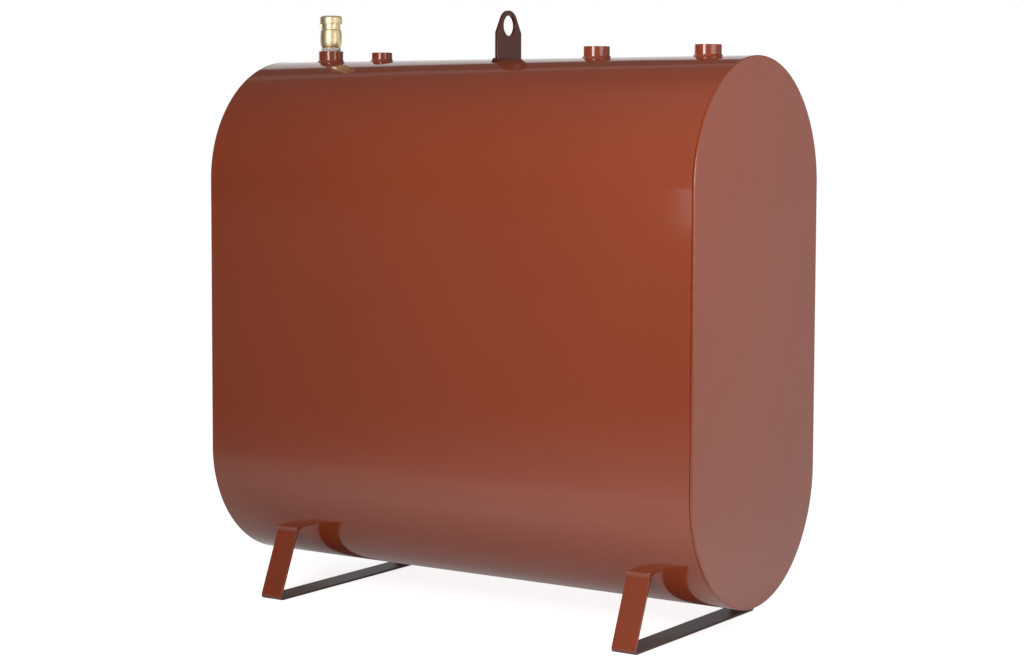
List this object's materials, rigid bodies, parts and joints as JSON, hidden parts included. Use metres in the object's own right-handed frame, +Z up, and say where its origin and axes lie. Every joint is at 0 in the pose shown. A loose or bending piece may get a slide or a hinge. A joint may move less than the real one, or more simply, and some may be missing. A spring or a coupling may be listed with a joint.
{
  "type": "oil storage tank",
  "caption": "Upright obround steel tank for heating oil on bent flat-bar feet, with threaded sockets, a capped brass fill fitting and a lifting lug along its crown.",
  "frame": {"origin": "on the floor, under the middle of the tank", "axes": "+X along the tank towards the end away from the fill fitting, -Y to the front, +Z up"},
  "size_m": [1.5012, 0.6512, 1.5885],
  "materials": {
    "red_oxide_paint": "glossy red oxide enamel over welded steel sheet",
    "brass": "polished, turned",
    "seal": "white thread seal"
  },
  "bodies": {
    "root": {"shell_crown_strip": "red_oxide_paint", "shell_crown_front": "red_oxide_paint", "shell_crown_back": "red_oxide_paint", "shell_front_side": "red_oxide_paint", "shell_back_side": "red_oxide_paint", "shell_belly": "red_oxide_paint", "head_left": "red_oxide_paint", "head_right": "red_oxide_paint", "filler_socket": "red_oxide_paint", "vent_socket": "red_oxide_paint", "gauge_socket": "red_oxide_paint", "suction_socket": "red_oxide_paint", "lifting_lug": "red_oxide_paint", "foot_left": "red_oxide_paint", "foot_right": "red_oxide_paint", "belly_seam_weld": "red_oxide_paint", "head_weld_left": "red_oxide_paint", "head_weld_right": "red_oxide_paint", "filler_socket_weld": "red_oxide_paint", "vent_socket_weld": "red_oxide_paint", "gauge_socket_weld": "red_oxide_paint", "suction_socket_weld": "red_oxide_paint", "lug_weld": "red_oxide_paint", "left_front_foot_weld": "red_oxide_paint", "left_back_foot_weld": "red_oxide_paint", "right_front_foot_weld": "red_oxide_paint", "right_back_foot_weld": "red_oxide_paint", "filler_body": "brass", "filler_cap": "brass", "filler_seal": "seal"}
  },
  "joints": []
}
